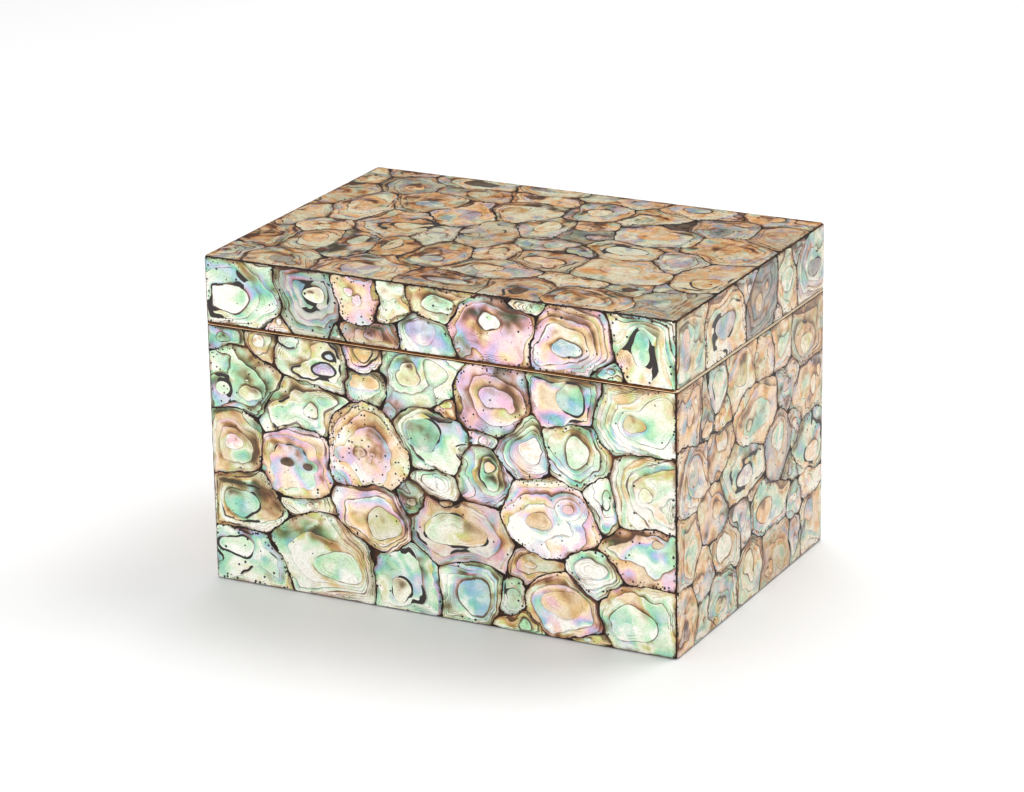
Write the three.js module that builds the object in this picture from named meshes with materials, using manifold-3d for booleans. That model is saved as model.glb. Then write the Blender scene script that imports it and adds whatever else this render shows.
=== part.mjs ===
// Shell box: a wooden casket and its lift-off lid, both faced outside with panels of flattened shell set
// in resin, and edged with a thin brass strip along the closing line.
//
// Millimetres, +Z up, origin at the centre of the underside. The length runs along X, the front faces -Y.

import * as THREE from 'three';
import { mergeVertices } from 'three/addons/utils/BufferGeometryUtils.js';
import Module from 'manifold-3d';

const wasm = await Module();
wasm.setup();

// Driving dimensions: the closed box from outside
const BOX_LENGTH = 250;
const BOX_DEPTH = 173;
const BOX_HEIGHT = 166;
const SEAM_HEIGHT = 131.9; // top face of the casket's brass strip
const CORNER_RADIUS = 2; // upright corners, in plan
const EDGE_RADIUS = 1.3; // top and bottom edges
const ROUND_STEPS = 8;

// Walls
const SHELL_THICKNESS = 2; // shell and the resin that holds it
const WALL_THICKNESS = 9; // shell panel and wood together
const FLOOR_THICKNESS = 9;
const TOP_THICKNESS = 9;
const UNDERSIDE_RELIEF = 0.3; // the shell panels stop short of what the box stands on
const MITRE_GAP = 0.06; // glue line where two shell panels meet along an edge of the box

// Closing line
const STRIP_THICKNESS = 0.5; // brass
const CLOSING_GAP = 0.2; // shadow line between the two strips
const LIP_THICKNESS = 3.4; // inner part of the casket's wall that rises into the lid
const LIP_HEIGHT = 6;
const LIP_CLEARANCE = 0.3;

const LID_START = SEAM_HEIGHT + CLOSING_GAP;
const LIP_TOP = SEAM_HEIGHT + LIP_HEIGHT;
const TOP_SEAT = BOX_HEIGHT - SHELL_THICKNESS; // where the top panel is glued to the wood

const SHELL_FRONT_COLOR = 0xcfe0d2;
const SHELL_SIDE_COLOR = 0xc4beae;
const SHELL_TOP_COLOR = 0x9c8a72;
const WOOD_COLOR = 0x3a2417;
const BRASS_COLOR = 0xd9a566;

const part = new THREE.Group();

// ---- Solids ----

// The geometry as a manifold-3d solid: vertices are shared by position alone.
function toSolid(geometry) {
  const positionsOnly = geometry.clone();
  positionsOnly.deleteAttribute('normal');
  positionsOnly.deleteAttribute('uv');
  const merged = mergeVertices(positionsOnly, 1e-4);
  return new wasm.Manifold(new wasm.Mesh({
    numProp: 3,
    vertProperties: new Float32Array(merged.attributes.position.array),
    triVerts: new Uint32Array(merged.index.array),
  }));
}

function toGeometry(solid) {
  const mesh = solid.getMesh();
  const geometry = new THREE.BufferGeometry();
  geometry.setAttribute('position', new THREE.BufferAttribute(mesh.vertProperties, 3));
  geometry.setIndex(new THREE.BufferAttribute(mesh.triVerts, 1));
  geometry.computeVertexNormals();
  return geometry;
}

function addPiece(name, solid, material) {
  const piece = new THREE.Mesh(toGeometry(solid), material);
  piece.name = name;
  part.add(piece);
}

// A square-edged block centred on the Z axis, from one height to another.
function block(length, depth, fromZ, toZ) {
  const geometry = new THREE.BoxGeometry(length, depth, toZ - fromZ);
  geometry.translate(0, 0, (fromZ + toZ) / 2);
  return toSolid(geometry);
}

// An upright prism over a plan outline.
function prism(outline, fromZ, toZ) {
  const shape = new THREE.Shape(outline);
  const geometry = new THREE.ExtrudeGeometry(shape, { depth: toZ - fromZ, bevelEnabled: false });
  geometry.translate(0, 0, fromZ);
  return toSolid(geometry);
}

// Rounded rectangle in plan, as a THREE.Shape centred on the origin.
function roundedRectangle(length, depth, radius) {
  const x = length / 2;
  const y = depth / 2;
  const shape = new THREE.Shape();
  shape.moveTo(-x + radius, -y);
  shape.absarc(x - radius, -y + radius, radius, -Math.PI / 2, 0);
  shape.absarc(x - radius, y - radius, radius, 0, Math.PI / 2);
  shape.absarc(-x + radius, y - radius, radius, Math.PI / 2, Math.PI);
  shape.absarc(-x + radius, -y + radius, radius, Math.PI, 1.5 * Math.PI);
  return shape;
}

// The closed box from outside, as one block with all its edges rounded. The bevel grows the inset outline
// out to the full size and turns its small corners into the full corner radius.
function outerForm() {
  const shape = roundedRectangle(
    BOX_LENGTH - 2 * EDGE_RADIUS, BOX_DEPTH - 2 * EDGE_RADIUS, CORNER_RADIUS - EDGE_RADIUS);
  const geometry = new THREE.ExtrudeGeometry(shape, {
    depth: BOX_HEIGHT - 2 * EDGE_RADIUS,
    curveSegments: ROUND_STEPS,
    bevelThickness: EDGE_RADIUS,
    bevelSize: EDGE_RADIUS,
    bevelSegments: ROUND_STEPS,
  });
  geometry.translate(0, 0, EDGE_RADIUS);
  return toSolid(geometry);
}

// Everything between two heights, for slicing the outer form.
function slice(fromZ, toZ) {
  return block(2 * BOX_LENGTH, 2 * BOX_DEPTH, fromZ, toZ);
}

const whole = outerForm();

// ---- Wood ----

const CARCASS_LENGTH = BOX_LENGTH - 2 * SHELL_THICKNESS;
const CARCASS_DEPTH = BOX_DEPTH - 2 * SHELL_THICKNESS;
const INNER_LENGTH = BOX_LENGTH - 2 * WALL_THICKNESS;
const INNER_DEPTH = BOX_DEPTH - 2 * WALL_THICKNESS;
const LIP_LENGTH = INNER_LENGTH + 2 * LIP_THICKNESS;
const LIP_DEPTH = INNER_DEPTH + 2 * LIP_THICKNESS;
const REBATE_LENGTH = LIP_LENGTH + 2 * LIP_CLEARANCE;
const REBATE_DEPTH = LIP_DEPTH + 2 * LIP_CLEARANCE;

// Casket: four walls and a floor, with the inner part of the walls standing up as a lip.
function baseCarcass() {
  const walls = block(CARCASS_LENGTH, CARCASS_DEPTH, 0, SEAM_HEIGHT - STRIP_THICKNESS);
  const lip = block(LIP_LENGTH, LIP_DEPTH, FLOOR_THICKNESS, LIP_TOP);
  const room = block(INNER_LENGTH, INNER_DEPTH, FLOOR_THICKNESS, BOX_HEIGHT);
  return walls.add(lip).subtract(room);
}

// Lid: the same walls under a top board, rebated inside so that it sits down on the lip.
function lidCarcass() {
  const outside = block(CARCASS_LENGTH, CARCASS_DEPTH, LID_START + STRIP_THICKNESS, TOP_SEAT);
  const room = block(INNER_LENGTH, INNER_DEPTH, 0, BOX_HEIGHT - TOP_THICKNESS);
  const rebate = block(REBATE_LENGTH, REBATE_DEPTH, 0, LIP_TOP);
  return outside.subtract(room).subtract(rebate);
}

function woodMaterial() {
  return new THREE.MeshStandardMaterial({ color: WOOD_COLOR, roughness: 0.55, metalness: 0 });
}

addPiece('base_carcass', baseCarcass(), woodMaterial());
addPiece('lid_carcass', lidCarcass(), woodMaterial());

// ---- Brass strips ----

// A flat frame from the box's outer face in to the rebate.
function brassStrip(fromZ) {
  const toZ = fromZ + STRIP_THICKNESS;
  const opening = block(REBATE_LENGTH, REBATE_DEPTH, fromZ - 1, toZ + 1);
  return whole.intersect(slice(fromZ, toZ)).subtract(opening);
}

function brassMaterial() {
  return new THREE.MeshStandardMaterial({ color: BRASS_COLOR, roughness: 0.28, metalness: 0.95 });
}

addPiece('base_rim', brassStrip(SEAM_HEIGHT - STRIP_THICKNESS), brassMaterial());
addPiece('lid_rim', brassStrip(LID_START), brassMaterial());

// ---- Shell panels ----

// The plan sector that one side's panel fills: it widens outwards at 45 degrees through the box's corners,
// and stops half a glue line short of its neighbours. The sector points along -Y and is turned into place.
function sideSector({ halfWidth, halfReach, turn }, fromZ, toZ) {
  const outset = 10;
  const inset = 20;
  const trim = MITRE_GAP / Math.SQRT2;
  const outline = [
    new THREE.Vector2(-halfWidth - outset + trim, -halfReach - outset),
    new THREE.Vector2(halfWidth + outset - trim, -halfReach - outset),
    new THREE.Vector2(halfWidth - inset - trim, -halfReach + inset),
    new THREE.Vector2(-halfWidth + inset + trim, -halfReach + inset),
  ];
  const centre = new THREE.Vector2();
  const turned = outline.map((point) => point.rotateAround(centre, turn));
  return prism(turned, fromZ, toZ);
}

// The space the lid's top panel fills: it starts as wide as the wood and widens upwards at 45 degrees
// through the box's top edges.
function topWedge(fromZ) {
  const rise = 10;
  const x = CARCASS_LENGTH / 2;
  const y = CARCASS_DEPTH / 2;
  const corners = [[-x, -y], [x, -y], [x, y], [-x, y]].map((corner) => new THREE.Vector2(...corner));
  const geometry = new THREE.ExtrudeGeometry(new THREE.Shape(corners), {
    depth: 1,
    bevelThickness: rise,
    bevelSize: rise,
    bevelSegments: 1,
  });
  geometry.translate(0, 0, fromZ + rise);
  return toSolid(geometry);
}

// The skin of the box between two heights: the rounded outer form less the wood inside it.
function skin(fromZ, toZ) {
  const core = block(CARCASS_LENGTH, CARCASS_DEPTH, fromZ - 1, toZ + 1);
  return whole.intersect(slice(fromZ, toZ)).subtract(core);
}

function shellMaterial(color) {
  return new THREE.MeshStandardMaterial({ color, roughness: 0.2, metalness: 0.1 });
}

const FRONT_HALF = { halfWidth: BOX_LENGTH / 2, halfReach: BOX_DEPTH / 2, color: SHELL_FRONT_COLOR };
const SIDE_HALF = { halfWidth: BOX_DEPTH / 2, halfReach: BOX_LENGTH / 2, color: SHELL_SIDE_COLOR };
const SIDES = [
  { name: 'front', turn: 0, ...FRONT_HALF },
  { name: 'right', turn: Math.PI / 2, ...SIDE_HALF },
  { name: 'back', turn: Math.PI, ...FRONT_HALF },
  { name: 'left', turn: -Math.PI / 2, ...SIDE_HALF },
];

const PANEL_BANDS = [
  { name: 'base', fromZ: UNDERSIDE_RELIEF, toZ: SEAM_HEIGHT - STRIP_THICKNESS },
  { name: 'lid', fromZ: LID_START + STRIP_THICKNESS, toZ: BOX_HEIGHT + 1 },
];
const clearOfTop = topWedge(TOP_SEAT - MITRE_GAP);

for (const band of PANEL_BANDS) {
  const bandSkin = skin(band.fromZ, band.toZ).subtract(clearOfTop);
  for (const side of SIDES) {
    const sector = sideSector(side, band.fromZ - 1, band.toZ + 1);
    addPiece(`${band.name}_${side.name}_shell`, bandSkin.intersect(sector), shellMaterial(side.color));
  }
}

addPiece('lid_top_shell', whole.intersect(topWedge(TOP_SEAT)), shellMaterial(SHELL_TOP_COLOR));

export default part;
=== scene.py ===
# %% [markdown]
# # Shell box
# A wooden casket with a lift-off lid. Every outer face is a mosaic of flattened, polished shell pieces set
# in dark resin, and a thin brass strip edges the closing line. This notebook loads the box's construction,
# then lays each face's mosaic piece by piece, finishes the wood and brass, and lights the box for a
# catalogue picture.

# %% Load the construction
import math

import bpy
import numpy as np
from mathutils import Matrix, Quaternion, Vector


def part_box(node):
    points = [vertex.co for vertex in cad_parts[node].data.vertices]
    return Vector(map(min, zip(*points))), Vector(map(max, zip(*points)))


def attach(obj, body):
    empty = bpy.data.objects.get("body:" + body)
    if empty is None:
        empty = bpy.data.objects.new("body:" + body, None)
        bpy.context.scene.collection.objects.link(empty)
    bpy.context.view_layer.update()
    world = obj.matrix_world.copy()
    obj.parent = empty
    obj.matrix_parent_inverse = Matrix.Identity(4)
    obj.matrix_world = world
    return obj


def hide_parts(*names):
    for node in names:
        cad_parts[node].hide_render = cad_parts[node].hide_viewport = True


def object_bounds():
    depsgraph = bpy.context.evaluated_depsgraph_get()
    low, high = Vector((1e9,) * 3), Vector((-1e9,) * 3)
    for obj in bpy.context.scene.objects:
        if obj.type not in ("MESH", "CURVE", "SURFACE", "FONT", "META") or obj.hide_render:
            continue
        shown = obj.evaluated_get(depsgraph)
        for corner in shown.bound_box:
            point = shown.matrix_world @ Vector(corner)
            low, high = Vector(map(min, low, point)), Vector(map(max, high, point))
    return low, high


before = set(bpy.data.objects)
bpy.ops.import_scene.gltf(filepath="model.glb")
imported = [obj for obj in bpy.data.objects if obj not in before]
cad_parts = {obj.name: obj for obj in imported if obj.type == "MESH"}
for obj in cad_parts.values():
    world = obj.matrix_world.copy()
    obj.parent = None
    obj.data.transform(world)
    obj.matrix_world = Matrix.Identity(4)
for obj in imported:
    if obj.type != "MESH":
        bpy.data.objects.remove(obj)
cad_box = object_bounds()
print("nodes:", sorted(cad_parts))
print("box, metres:", [list(corner) for corner in cad_box])

# %% [markdown]
# ## Sizes
# Mosaic work is laid out in millimetres, as the maker would, and scaled to metres when a mesh is made. The
# box's own sizes come from the construction's corners, so nothing here can drift from it. Only the small
# roundings are repeated, because a corner box can't tell them.

# %% Sizes in millimetres
MM = 0.001
low, high = (np.array(corner) / MM for corner in cad_box)
LENGTH, DEPTH, HEIGHT = high - low
CORNER_ROUND = 2.0   # upright corners
EDGE_ROUND = 1.3     # top and bottom edges
SHELL_DEPTH = 2.0    # a whole panel: shell and the resin behind it
PIECE_DEPTH = 1.1    # one shell piece
PROUD = 0.10         # how far a polished piece stands above the resin
ARRIS = 0.34         # resin left showing between a piece and the box's arris
print("length, depth, height:", LENGTH, DEPTH, HEIGHT)

# %% [markdown]
# ## A panel's own map
# Each face is a flat sheet that rolls over the box's rounded edges. Giving a panel its own map, with u to
# the right and v up as its maker sees it, lets every piece be drawn flat and then rolled on. A flat
# drawing that stopped at the rounding would leave a bare band round every face.

# %% Rolling a flat drawing onto a panel
class Panel:
    """One side of the box: where it is, which way it looks, and how it rolls over its edges."""

    def __init__(self, name, node, across, outward):
        self.name = name
        self.side = name.split("_")[1]
        self.node = node
        self.across = np.array(across, float)
        self.outward = np.array(outward, float)
        self.half = abs(self.across @ (high - low)) / 2
        self.reach = abs(self.outward @ (high - low)) / 2
        self.bottom, self.top = (np.array(corner)[2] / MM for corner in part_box(node))
        self.right = self.half - CORNER_ROUND + CORNER_ROUND * math.pi / 4
        self.left = -self.right
        self.foot, self.head = self.bottom, self.top
        if self.bottom < EDGE_ROUND:       # the sheet starts part of the way round the bottom rounding
            self.foot = EDGE_ROUND - EDGE_ROUND * math.asin(1 - self.bottom / EDGE_ROUND)
        if self.top > HEIGHT - EDGE_ROUND:
            self.head = HEIGHT - EDGE_ROUND + EDGE_ROUND * math.pi / 4

    def roll(self, u, v, lift):
        """Points of the rolled sheet, in metres.

        Past the start of the bottom or top rounding the sheet follows a circle inwards; past an upright
        corner's start it follows a circle whose radius is what that inset leaves."""
        level = np.clip(v, EDGE_ROUND, HEIGHT - EDGE_ROUND)
        tilt = (v - level) / EDGE_ROUND
        inset = EDGE_ROUND - (EDGE_ROUND + lift) * np.cos(tilt)
        z = level + (EDGE_ROUND + lift) * np.sin(tilt)
        straight = self.half - CORNER_ROUND
        turn = np.maximum(np.abs(u) - straight, 0) / CORNER_ROUND
        radius = CORNER_ROUND - inset
        along = np.sign(u) * (np.minimum(np.abs(u), straight) + radius * np.sin(turn))
        out = self.reach - CORNER_ROUND + radius * np.cos(turn)
        flat = along[..., None] * self.across + out[..., None] * self.outward
        return (flat + z[..., None] * np.array([0.0, 0.0, 1.0])) * MM

    def back(self, u, v):
        """Points of the panel's glued back, in metres: the same grid, shrunk evenly to the wood's face."""
        along = u / self.right * (self.half - SHELL_DEPTH)
        z = np.interp(v, (self.foot, self.head), (self.bottom, min(self.top, HEIGHT - SHELL_DEPTH)))
        flat = along[..., None] * self.across + (self.reach - SHELL_DEPTH) * self.outward
        return (flat + z[..., None] * np.array([0.0, 0.0, 1.0])) * MM

    def sheet(self, u, v):
        """Where a square grid's points go on the sheet: a side needs no change."""
        return u, v

    def room(self, u, v):
        """Distance in from the edge of the sheet."""
        return np.minimum.reduce([u - self.left, self.right - u, v - self.foot, self.head - v])


class TopPanel(Panel):
    """The lid's top: its sheet rolls over all four edges, as far as the mitre."""

    def __init__(self, name, node):
        super().__init__(name, node, (1, 0, 0), (0, 0, 1))
        self.core = np.array([LENGTH, DEPTH]) / 2 - CORNER_ROUND
        self.over = CORNER_ROUND - EDGE_ROUND + EDGE_ROUND * math.pi / 4
        self.right, self.head = self.core + self.over
        self.left, self.foot = -self.right, -self.head

    def roll(self, u, v, lift):
        """Points of the rolled sheet, in metres: the distance past the flat top's rounded outline is wound
        round a circle."""
        point = np.stack([u, v], -1)
        past = np.maximum(np.abs(point) - self.core, 0)
        length = np.linalg.norm(past, axis=-1)
        way = past / np.maximum(length, 1e-9)[..., None] * np.sign(point)
        start = CORNER_ROUND - EDGE_ROUND
        turn = np.clip(length - start, 0, self.over - start) / EDGE_ROUND
        out = np.minimum(length, start) + (EDGE_ROUND + lift) * np.sin(turn)
        flat = np.clip(point, -self.core, self.core) + way * out[..., None]
        z = self.top - EDGE_ROUND + (EDGE_ROUND + lift) * np.cos(turn)
        return np.concatenate([flat, z[..., None]], -1) * MM

    def back(self, u, v):
        """Points of the panel's glued back, in metres."""
        edge = self.core + CORNER_ROUND - SHELL_DEPTH
        x, y = u / self.right * edge[0], v / self.head * edge[1]
        return np.stack([x, y, np.full_like(x, HEIGHT - SHELL_DEPTH)], -1) * MM

    def sheet(self, u, v):
        """Draws a square grid's corners in to the sheet's rounded corners: past the core, a point keeps
        its direction and takes its larger overhang as its distance."""
        point = np.stack([u, v], -1)
        past = np.maximum(np.abs(point) - self.core, 0)
        pull = past.max(-1) / np.maximum(np.linalg.norm(past, axis=-1), 1e-9)
        rounded = np.minimum(np.abs(point), self.core) + past * pull[..., None]
        return np.moveaxis(np.sign(point) * rounded, -1, 0)

    def room(self, u, v):
        """Distance in from the sheet's edge, which is rounded at the corners."""
        past = np.abs(np.stack([u, v], -1)) - self.core
        outside = np.linalg.norm(np.maximum(past, 0), axis=-1)
        return self.over - outside - np.minimum(past.max(-1), 0)


SIDES = {
    "front": ((1, 0, 0), (0, -1, 0)),
    "right": ((0, 1, 0), (1, 0, 0)),
    "back": ((-1, 0, 0), (0, 1, 0)),
    "left": ((0, -1, 0), (-1, 0, 0)),
}
panels = {}
for band in ("base", "lid"):
    for side, (across, outward) in SIDES.items():
        key = f"{band}_{side}"
        panels[key] = Panel(key, key + "_shell", across, outward)
panels["lid_top"] = TopPanel("lid_top", "lid_top_shell")
for panel in panels.values():
    print(panel.name, "sheet", round(panel.right - panel.left, 1), "x", round(panel.head - panel.foot, 1))

# %% [markdown]
# ## Smooth randomness
# Shell grows unevenly, so almost every line here needs a gentle wander. A sum of plane waves is smooth at
# every point and gives the same surface for the same seed, so two neighbours can share one wander and
# still meet. White noise on the mesh's own points would change with the mesh.

# %% Ripples
def ripple(points, wavelength, seed, waves=14):
    """A smooth random surface, mostly between -1 and 1: a sum of plane waves with random headings and
    phases, whose lengths spread half an octave to either side of the wavelength, in millimetres."""
    draw = np.random.default_rng(seed)
    heading = draw.uniform(0, 2 * math.pi, waves)
    number = 2 * math.pi / (wavelength * 2 ** draw.uniform(-0.5, 0.5, waves))
    phase = draw.uniform(0, 2 * math.pi, waves)
    along = points[..., 0, None] * np.cos(heading) + points[..., 1, None] * np.sin(heading)
    return 0.6 * math.sqrt(2 / waves) * np.sin(along * number + phase).sum(-1)


print("ripple spread:", ripple(np.random.default_rng(0).uniform(0, 99, (999, 2)), 9, 1).std().round(2))

# %% [markdown]
# ## Setting out the mosaic
# The maker picks whole flattened shells, sets the big ones first and trims the rest to fit between them.
# The lists below do the same: one line for each shell, with its middle, its two half widths, its turn in
# degrees and its tint. Marks are worm holes (w), black patches round the eye (b), many growth lines (g),
# few lines (c), lines that stray (s), and whether it lies on top with its whole outline (t) or fills in
# underneath (u); a doubled letter doubles the effect. The next group, where there is one, is the shell's
# eye: its middle, half widths and tint. A last group is a second eye beside the first, with no tint of
# its own. Drawn outlines would fix every joint by hand, and the next cells find them by a rule instead.

# %% Tints of shell
# Each tint is its place on the round of pearl colours (0 to 1), how brown it is stained, and how dark.
TINTS = {
    "white": (0.00, 0.00, 0.00),
    "mint": (0.13, 0.00, 0.03),
    "teal": (0.23, 0.10, 0.22),
    "aqua": (0.26, 0.00, 0.05),
    "blue": (0.36, 0.00, 0.10),
    "lilac": (0.46, 0.00, 0.05),
    "pink": (0.58, 0.00, 0.00),
    "cream": (0.70, 0.05, 0.00),
    "gold": (0.80, 0.25, 0.05),
    "olive": (0.90, 0.45, 0.12),
    "green": (0.93, 0.10, 0.08),
    "tan": (0.74, 0.60, 0.15),
    "grey": (0.20, 0.35, 0.30),
    "brown": (0.80, 1.00, 0.95),
    "dusk": (0.42, 0.30, 0.55),
}

# %% Base, front
LAYOUT = {}
LAYOUT["base_front"] = [
    (-116, 126, 14, 6, 0, "blue", "c"),
    (-96, 127, 9, 7, -20, "gold", "g"),
    (-67, 120, 21, 12, -18, "mint", "bt", (-60, 117, 6, 3, "lilac")),
    (-38, 127, 9, 9, 0, "cream", "bt", (-39, 129, 5, 5, "cream")),
    (-38, 113, 13, 7, 0, "mint", "w", (-39, 114, 10, 4, "cream")),
    (-10, 119, 19, 15, -5, "aqua", "csu", (-14, 124, 4, 3, "white")),
    (3, 108, 8, 6, 15, "cream", "bu", (5, 109, 4, 2, "white")),
    (30, 114, 21, 18, 25, "pink", "wt", (31, 116, 9, 5, "pink")),
    (36, 101, 5, 4, 0, "blue", "bu"),
    (65, 119, 15, 13, -20, "lilac", "b", (71, 121, 7, 8, "aqua")),
    (105, 115, 22, 18, 10, "mint", "ggt", (103, 113, 6, 4, "gold")),
    (-107, 105, 21, 17, -10, "mint", "bbwt", (-102, 99, 6.5, 3.4, "white"), (-117, 100, 4, 3.4)),
    (-75, 97, 19, 13, 12, "mint", "b", (-68, 95, 4, 4, "white")),
    (-111, 74, 16, 17, 0, "green", "gt", (-112, 73, 5, 4, "cream")),
    (-78, 68, 20, 18, 0, "pink", "bt", (-82, 67, 3.6, 2, "brown"), (-71, 66, 2.6, 1.6)),
    (-38, 79, 21, 20, 0, "cream", "wwt", (-42, 78, 3, 2.4, "tan")),
    (-2, 90, 19, 16, -10, "mint", "bt", (-7, 92, 9, 8, "teal")),
    (2, 68, 12, 7, -25, "white", "gg"),
    (24, 76, 15, 15, 20, "aqua", "bgs", (28, 81, 3, 2.6, "gold")),
    (25, 94, 9, 4, 0, "aqua", "u"),
    (46, 92, 13, 16, 0, "aqua", "g", (50, 92, 6, 6, "pink")),
    (73, 94, 16, 15, 0, "mint", "gg", (74, 95, 6, 8, "mint")),
    (109, 80, 18, 19, 0, "green", "gt", (109, 79, 3.6, 3.6, "white")),
    (87, 70, 7, 13, 20, "mint", "b", (89, 74, 2, 5, "mint")),
    (-14, 57, 6, 7, 0, "grey", ""),
    (59, 60, 25, 20, -10, "pink", "wgt", (54, 58, 7, 4.5, "gold"), (69, 66, 3, 2.4)),
    (-35, 46, 21, 16, -15, "pink", "gt", (-30, 43, 9, 8, "olive")),
    (13, 45, 28, 17, -8, "tan", "b", (8, 46, 17, 8, "green")),
    (106, 48, 20, 14, -12, "lilac", "wc", (115, 56, 3, 2, "tan")),
    (-106, 42, 19, 14, 0, "green", "wb", (-109, 42, 10, 7, "mint")),
    (-70, 46, 13, 4, 0, "white", "ggu"),
    (-62, 21, 27, 22, -20, "green", "ggt", (-55, 17, 13, 8, "mint")),
    (82, 36, 14, 11, 0, "mint", "gt", (80, 38, 9, 5, "green")),
    (54, 35, 13, 6, 0, "tan", "u", (49, 35, 3, 1.4, "tan")),
    (-106, 14, 19, 15, 0, "aqua", "wb", (-110, 19, 8, 5, "mint")),
    (-17, 16, 17, 18, 0, "aqua", "bbt", (-21, 11, 5, 6.5, "white")),
    (17, 17, 16, 18, 0, "mint", "g", (19, 14, 9, 10, "aqua")),
    (39, 17, 6, 10, -15, "teal", "bt", (40, 17, 4, 5, "teal")),
    (46, 4, 11, 5, 0, "mint", "u"),
    (67, 17, 21, 16, 0, "cream", "gt", (66, 18, 11, 7, "gold")),
    (105, 17, 21, 17, 15, "green", "ct", (102, 14, 13, 9, "mint")),
    (77, 1, 9, 3, 0, "white", "u"),
    (5, 59, 9, 3, 20, "tan", "u"),
    (-44, 29, 7, 3, -30, "white", "g"),
]

# %% Lid, front
LAYOUT["lid_front"] = [
    (-105, 149, 24, 16, -5, "mint", "bbwt", (-112, 146, 13, 7, "mint")),
    (-68, 149, 17, 17, 20, "grey", "bbgt", (-64, 154, 6, 4, "white")),
    (-41, 154, 12, 11, 0, "cream", "wc"),
    (-21, 155, 10, 10, 0, "white", "c"),
    (-35, 138, 17, 5, 0, "tan", "gu"),
    (-7, 142, 14, 10, 10, "aqua", "", (-7, 143, 8, 6, "lilac")),
    (1, 158, 16, 8, -8, "white", "cu", (2, 158, 9, 4, "mint")),
    (30, 148, 22, 16, 0, "pink", "wt", (29, 153, 5.5, 4, "white")),
    (72, 148, 21, 16, 0, "pink", "wgt", (69, 145, 8, 4, "aqua")),
    (110, 149, 17, 17, 20, "white", "bbg", (107, 150, 4.5, 9, "mint")),
    (51, 162, 7, 3, 0, "white", "g"),
    (92, 137, 4, 5, 0, "mint", "u"),
    (-84, 138, 5, 4, 0, "gold", "u"),
    (-54, 136, 4, 4, 0, "aqua", "u"),
]

# %% Base, right side
LAYOUT["base_right"] = [
    (-72, 116, 16, 16, 0, "cream", "ct"),
    (-40, 119, 9, 12, 0, "aqua", "bc", (-40, 121, 6, 8, "mint")),
    (-55, 110, 10, 12, 20, "grey", "bbc", (-52, 103, 5.5, 3.5, "cream")),
    (-36, 105, 10, 6, 10, "white", "c"),
    (-14, 118, 17, 14, 0, "cream", "cu"),
    (13, 119, 13, 11, 0, "gold", "c", (20, 120, 3, 4, "pink")),
    (34, 120, 12, 11, 0, "green", "c", (34, 118, 6, 5, "mint")),
    (65, 116, 21, 15, -10, "tan", "bg", (64, 111, 7, 5, "white")),
    (-69, 85, 17, 17, 0, "lilac", "ggs", (-68, 84, 5, 4, "grey")),
    (-37, 88, 15, 13, 0, "gold", "c", (-36, 92, 6, 5, "gold")),
    (4, 93, 26, 16, -5, "cream", "ct", (6, 92, 14, 8, "mint")),
    (40, 97, 13, 9, 0, "blue", "gs"),
    (67, 88, 18, 13, 0, "gold", "", (73, 87, 3, 5, "cream")),
    (29, 70, 15, 17, 0, "tan", "t", (30, 73, 7, 7, "mint")),
    (50, 74, 6, 9, 10, "blue", "c"),
    (-13, 70, 25, 14, -10, "mint", "bbt", (-9, 66, 9, 5, "lilac")),
    (-46, 59, 15, 13, -20, "cream", "ct", (-42, 60, 5, 4, "gold")),
    (-76, 50, 14, 17, 0, "gold", "", (-69, 48, 6.5, 6, "white")),
    (-13, 46, 9, 13, 0, "lilac", "b", (-12, 48, 4.5, 7, "lilac")),
    (-30, 37, 17, 11, -15, "green", "gt", (-34, 38, 9, 7, "white")),
    (70, 57, 18, 15, -10, "aqua", "bbt", (72, 52, 8, 5, "cream")),
    (20, 42, 24, 12, -8, "mint", "wt", (14, 40, 9, 6, "cream")),
    (68, 38, 15, 7, 0, "cream", "c"),
    (51, 35, 9, 8, -20, "mint", "c"),
    (-59, 31, 9, 10, 0, "lilac", "c"),
    (-76, 17, 12, 15, 0, "cream", "", (-77, 10, 4, 4, "lilac")),
    (-35, 14, 17, 14, -10, "aqua", "gt", (-38, 10, 6, 3.5, "white")),
    (-56, 9, 7, 11, 0, "green", "c"),
    (-3, 14, 15, 16, 0, "white", "gt", (-5, 20, 6, 6, "white")),
    (27, 13, 17, 13, 0, "tan", "", (20, 8, 5, 4, "cream")),
    (52, 12, 8, 11, 0, "blue", "bt"),
    (73, 14, 14, 15, 0, "green", "", (69, 22, 5, 6, "lilac")),
    (-2, 57, 4, 4, 0, "tan", "u"),
    (45, 50, 5, 3, 0, "blue", "u"),
]

# %% Lid, right side
LAYOUT["lid_right"] = [
    (-72, 148, 17, 17, 0, "white", "t", (-77, 149, 5, 10, "lilac")),
    (-33, 148, 23, 16, 0, "cream", "bbwt", (-33, 148, 11, 6, "blue")),
    (-5, 158, 7, 6, -20, "lilac", "cu"),
    (11, 147, 18, 17, 0, "dusk", "gt", (6, 148, 4, 4.5, "tan")),
    (40, 148, 13, 15, 0, "green", "c", (40, 150, 7, 6, "mint")),
    (70, 148, 19, 16, 0, "blue", "bgt", (73, 147, 8, 4, "dusk")),
    (53, 158, 5, 4, 0, "blue", "u"),
    (27, 137, 7, 3, 0, "blue", "u"),
]

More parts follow.
